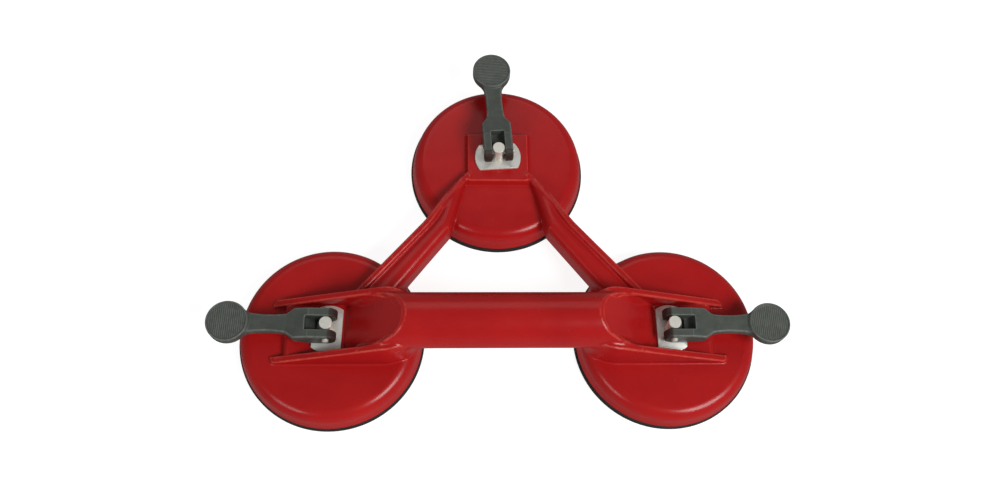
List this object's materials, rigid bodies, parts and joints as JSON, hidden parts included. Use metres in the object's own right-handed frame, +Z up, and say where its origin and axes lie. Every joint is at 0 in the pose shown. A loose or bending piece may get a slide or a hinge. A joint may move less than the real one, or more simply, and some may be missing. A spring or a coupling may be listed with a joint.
{
  "type": "vacuum suction cup lifter",
  "caption": "Hand lifter for glass and sheet: suction cups joined by a round grip and two arms, each with a cam lever that draws its rubber pad up.",
  "frame": {"origin": "middle of the whole lifter's box, on the floor that the pads stand on", "axes": "+X along the grip towards the right cup, +Y towards the single rear cup, +Z up from the sheet"},
  "size_m": [0.366, 0.2558, 0.0623],
  "materials": {
    "frame_plastic": "moulded, semi-gloss red",
    "lever_plastic": "moulded glass-filled plastic, fine texture",
    "zinc_steel": "zinc plated, lightly scratched",
    "steel": "turned and zinc plated",
    "rubber": "matt black vulcanised rubber"
  },
  "bodies": {
    "frame": {"frame": "frame_plastic"},
    "left_pad": {"left_rubber_pad": "rubber", "left_wear_plate": "zinc_steel"},
    "left_stem": {"left_stem": "steel", "left_insert_disc": "steel", "left_pivot_pin": "steel"},
    "left_lever": {"left_lever": "lever_plastic"},
    "right_pad": {"right_rubber_pad": "rubber", "right_wear_plate": "zinc_steel"},
    "right_stem": {"right_stem": "steel", "right_insert_disc": "steel", "right_pivot_pin": "steel"},
    "right_lever": {"right_lever": "lever_plastic"},
    "rear_pad": {"rear_rubber_pad": "rubber", "rear_wear_plate": "zinc_steel"},
    "rear_stem": {"rear_stem": "steel", "rear_insert_disc": "steel", "rear_pivot_pin": "steel"},
    "rear_lever": {"rear_lever": "lever_plastic"}
  },
  "joints": [
    {"name": "left_swivel", "type": "hinge", "parent": "frame", "child": "left_pad", "pos_m": [-0.109, -0.06794, 0.025], "axis": [0, 0, 1], "range_deg": [-5, 5]},
    {"name": "left_lift", "type": "slide", "parent": "left_pad", "child": "left_stem", "axis": [0, 0, -1], "range_m": [0, 0.0025], "deforming": ["left_rubber_pad"]},
    {"name": "left_lever_swing", "type": "hinge", "parent": "left_stem", "child": "left_lever", "pos_m": [-0.109, -0.06794, 0.0355], "axis": [0.0297, 0.9996, 0], "range_deg": [0, 90]},
    {"name": "right_swivel", "type": "hinge", "parent": "frame", "child": "right_pad", "pos_m": [0.109, -0.06794, 0.025], "axis": [0, 0, 1], "range_deg": [-5, 5]},
    {"name": "right_lift", "type": "slide", "parent": "right_pad", "child": "right_stem", "axis": [0, 0, -1], "range_m": [0, 0.0025], "deforming": ["right_rubber_pad"]},
    {"name": "right_lever_swing", "type": "hinge", "parent": "right_stem", "child": "right_lever", "pos_m": [0.109, -0.06794, 0.0355], "axis": [0, -1, 0], "range_deg": [0, 90]},
    {"name": "rear_swivel", "type": "hinge", "parent": "frame", "child": "rear_pad", "pos_m": [0, 0.05406, 0.025], "axis": [0, 0, 1], "range_deg": [-15, 15]},
    {"name": "rear_lift", "type": "slide", "parent": "rear_pad", "child": "rear_stem", "axis": [0, 0, -1], "range_m": [0, 0.0025], "deforming": ["rear_rubber_pad"]},
    {"name": "rear_lever_swing", "type": "hinge", "parent": "rear_stem", "child": "rear_lever", "pos_m": [0, 0.05406, 0.0355], "axis": [0.9979, 0.0645, 0], "range_deg": [0, 90]}
  ],
  "couplings": [
    {"joint": "left_lift", "follows": "left_lever_swing", "m_per_rad": 0.0015279},
    {"joint": "right_lift", "follows": "right_lever_swing", "m_per_rad": 0.0015279},
    {"joint": "rear_lift", "follows": "rear_lever_swing", "m_per_rad": 0.0015279}
  ]
}
